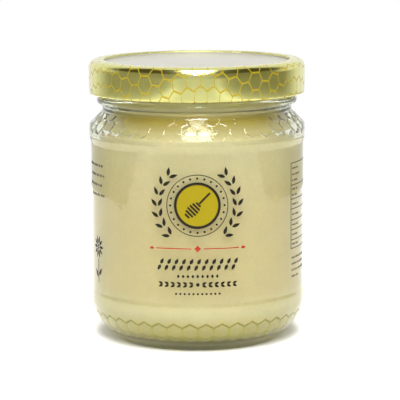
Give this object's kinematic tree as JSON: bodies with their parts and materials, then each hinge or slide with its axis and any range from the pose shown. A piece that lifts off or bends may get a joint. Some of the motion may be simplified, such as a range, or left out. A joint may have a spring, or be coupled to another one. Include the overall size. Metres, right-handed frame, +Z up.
{
  "type": "honey jar",
  "caption": "Round glass jar with honeycomb relief, filled with pale set honey and shut with a printed metal twist-off lid.",
  "frame": {"origin": "centre of the bearing ring, on the surface that the jar stands on", "axes": "+Z up along the jar's axis; -Y is the front, with the main print; +X is the right side as seen from the front"},
  "size_m": [0.0662, 0.0662, 0.086],
  "materials": {
    "clear_glass": "clear soda-lime glass with a faint green tint",
    "set_honey": "smooth pale cream, slightly translucent",
    "lacquered_tinplate": "glossy clear gold lacquer over bright tinplate, with an orange line print",
    "dark_ink": "fired dark brown print on the glass",
    "yellow_ink": "fired yellow print on the glass",
    "red_ink": "fired red print on the glass"
  },
  "bodies": {
    "root": {"glass_jar": "clear_glass", "honey": "set_honey", "lid": "lacquered_tinplate"}
  },
  "joints": []
}
